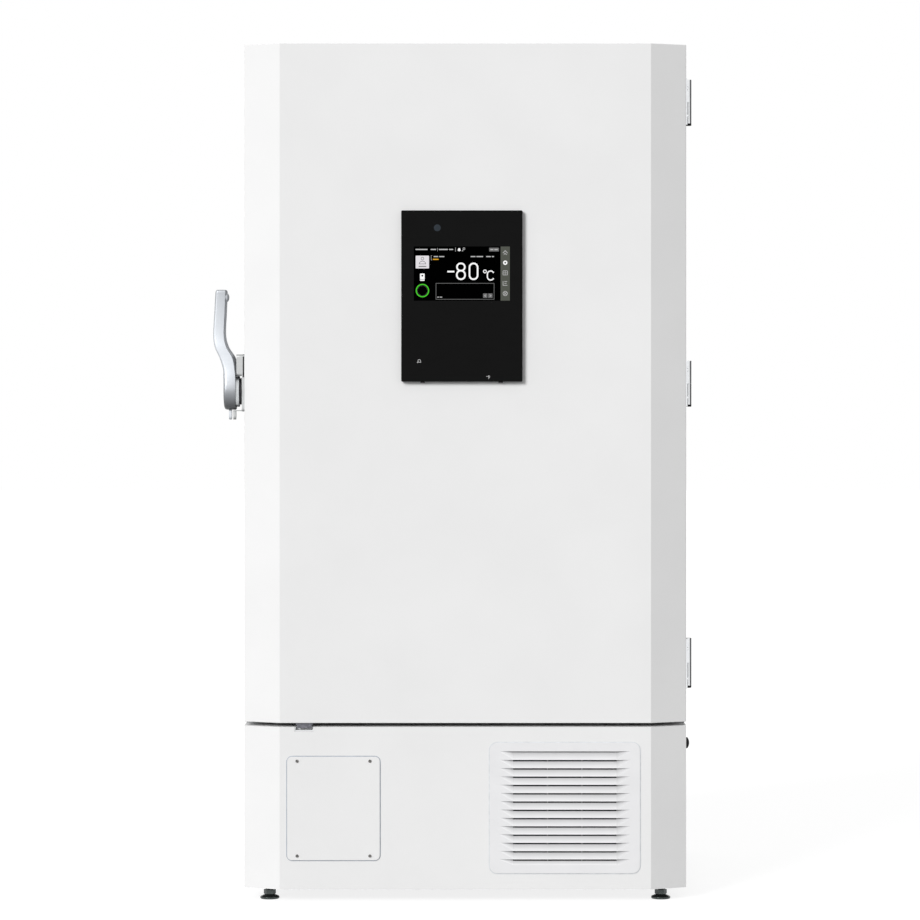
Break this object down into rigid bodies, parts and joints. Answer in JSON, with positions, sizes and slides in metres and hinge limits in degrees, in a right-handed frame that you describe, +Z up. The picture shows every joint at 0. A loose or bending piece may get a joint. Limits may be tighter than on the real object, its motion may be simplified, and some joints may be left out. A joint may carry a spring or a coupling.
{
  "type": "ultra-low-temperature freezer",
  "caption": "Upright ultra-low-temperature laboratory freezer with a chamfered outer door, insulated inner doors, side lever handle, touch panel and louvred base on casters.",
  "frame": {"origin": "middle of the bounding box on the floor, lever and hinges counted", "axes": "+X to the right seen from the front, +Y rearwards, +Z up"},
  "size_m": [1.1184, 0.8946, 1.993],
  "materials": {
    "cabinet_white": "satin powder coat",
    "rear_paint": "satin powder coat",
    "foam": "cut foam",
    "liner_steel": "brushed",
    "white_plastic": "matt",
    "seal_grey": "matt",
    "base_steel": "satin",
    "grille_plastic": "fine grain",
    "filter_black": "woven",
    "fin_aluminium": "satin",
    "sheet_grey": "satin",
    "enamel_black": "gloss enamel",
    "copper": "drawn tube",
    "zinc": "zinc plated",
    "hinge_metal": "satin anodised",
    "silver_paint": "silver paint on casting",
    "bracket_grey": "grey paint",
    "panel_black": "gloss",
    "display_black": "polished",
    "tyre_grey": "matt",
    "lock_steel": "polished",
    "black_rubber": "matt"
  },
  "bodies": {
    "cabinet": {"side_panel_left": "cabinet_white", "side_panel_right": "cabinet_white", "top_panel": "cabinet_white", "rear_panel": "rear_paint", "insulation": "foam", "inner_liner": "liner_steel", "breaker_frame": "white_plastic", "shelf_rails": "liner_steel", "shelf_upper": "liner_steel", "shelf_middle": "liner_steel", "shelf_lower": "liner_steel", "base_frame": "base_steel", "front_cover": "cabinet_white", "grille": "grille_plastic", "condenser_filter": "filter_black", "condenser": "fin_aluminium", "fan_shroud": "sheet_grey", "fan_motor": "enamel_black", "compressor_high": "enamel_black", "compressor_low": "enamel_black", "pipework": "copper", "control_box": "sheet_grey", "blank_plate": "cabinet_white", "plate_screws": "zinc", "striker": "zinc", "side_plug": "black_rubber", "levelling_feet": "zinc", "hinge_pintles": "hinge_metal", "access_sleeve": "white_plastic", "cord_inlet": "black_rubber", "rear_spacers": "black_rubber", "rear_vent_cover": "rear_paint", "latch_pocket": "white_plastic"},
    "fan": {"fan_blades": "fin_aluminium"},
    "rocker": {"power_switch": "panel_black"},
    "swivel_fl": {"caster_fork_fl": "zinc"},
    "swivel_fr": {"caster_fork_fr": "zinc"},
    "swivel_rl": {"caster_fork_rl": "zinc"},
    "swivel_rr": {"caster_fork_rr": "zinc"},
    "wheel_fl": {"caster_wheel_fl": "tyre_grey"},
    "wheel_fr": {"caster_wheel_fr": "tyre_grey"},
    "wheel_rl": {"caster_wheel_rl": "tyre_grey"},
    "wheel_rr": {"caster_wheel_rr": "tyre_grey"},
    "door": {"door_skin": "cabinet_white", "door_insulation": "foam", "door_inner_panel": "white_plastic", "door_gasket": "seal_grey", "panel_housing": "panel_black", "display_glass": "display_black", "hinge_barrels": "hinge_metal", "handle_bracket": "bracket_grey", "door_tab": "zinc"},
    "handle": {"handle_lever": "silver_paint", "latch_hook": "zinc"},
    "lock": {"lock_cylinder": "lock_steel"},
    "inner_top": {"inner_door_upper": "white_plastic", "inner_gasket_upper": "seal_grey"},
    "inner_bottom": {"inner_door_lower": "white_plastic", "inner_gasket_lower": "seal_grey"}
  },
  "joints": [
    {"name": "door_swing", "type": "hinge", "parent": "cabinet", "child": "door", "pos_m": [0.55225, -0.35675, 1.2], "axis": [0, 0, 1], "range_deg": [0, 115]},
    {"name": "handle_turn", "type": "hinge", "parent": "door", "child": "handle", "pos_m": [-0.48575, -0.36875, 1.185], "axis": [1, 0, 0], "range_deg": [0, 60]},
    {"name": "lock_turn", "type": "hinge", "parent": "handle", "child": "lock", "pos_m": [-0.48575, -0.36875, 1.185], "axis": [1, 0, 0], "range_deg": [0, 90]},
    {"name": "inner_top_swing", "type": "hinge", "parent": "cabinet", "child": "inner_top", "pos_m": [0.47525, -0.32825, 1.5], "axis": [0, 0, 1], "range_deg": [0, 97.75]},
    {"name": "inner_bottom_swing", "type": "hinge", "parent": "cabinet", "child": "inner_bottom", "pos_m": [0.47525, -0.32825, 0.85], "axis": [0, 0, 1], "range_deg": [0, 97.75]},
    {"name": "fan_spin", "type": "hinge", "parent": "cabinet", "child": "fan", "pos_m": [0.26025, -0.317, 0.218], "axis": [0, 1, 0], "continuous": true},
    {"name": "switch_rock", "type": "hinge", "parent": "cabinet", "child": "rocker", "pos_m": [0.43925, 0.40325, 0.38], "axis": [1, 0, 0], "range_deg": [-10, 10]},
    {"name": "swivel_fl_turn", "type": "hinge", "parent": "cabinet", "child": "swivel_fl", "pos_m": [-0.40075, -0.20875, 0.07], "axis": [0, 0, 1], "continuous": true},
    {"name": "wheel_fl_roll", "type": "hinge", "parent": "swivel_fl", "child": "wheel_fl", "pos_m": [-0.40075, -0.18475, 0.03], "axis": [1, 0, 0], "continuous": true},
    {"name": "swivel_fr_turn", "type": "hinge", "parent": "cabinet", "child": "swivel_fr", "pos_m": [0.45925, -0.20875, 0.07], "axis": [0, 0, 1], "continuous": true},
    {"name": "wheel_fr_roll", "type": "hinge", "parent": "swivel_fr", "child": "wheel_fr", "pos_m": [0.45925, -0.18475, 0.03], "axis": [1, 0, 0], "continuous": true},
    {"name": "swivel_rl_turn", "type": "hinge", "parent": "cabinet", "child": "swivel_rl", "pos_m": [-0.40075, 0.31725, 0.07], "axis": [0, 0, 1], "continuous": true},
    {"name": "wheel_rl_roll", "type": "hinge", "parent": "swivel_rl", "child": "wheel_rl", "pos_m": [-0.40075, 0.34125, 0.03], "axis": [1, 0, 0], "continuous": true},
    {"name": "swivel_rr_turn", "type": "hinge", "parent": "cabinet", "child": "swivel_rr", "pos_m": [0.45925, 0.31725, 0.07], "axis": [0, 0, 1], "continuous": true},
    {"name": "wheel_rr_roll", "type": "hinge", "parent": "swivel_rr", "child": "wheel_rr", "pos_m": [0.45925, 0.34125, 0.03], "axis": [1, 0, 0], "continuous": true}
  ],
  "couplings": [
    {"joint": "inner_top_swing", "follows": "door_swing", "ratio": 0.85},
    {"joint": "inner_bottom_swing", "follows": "door_swing", "ratio": 0.85}
  ]
}
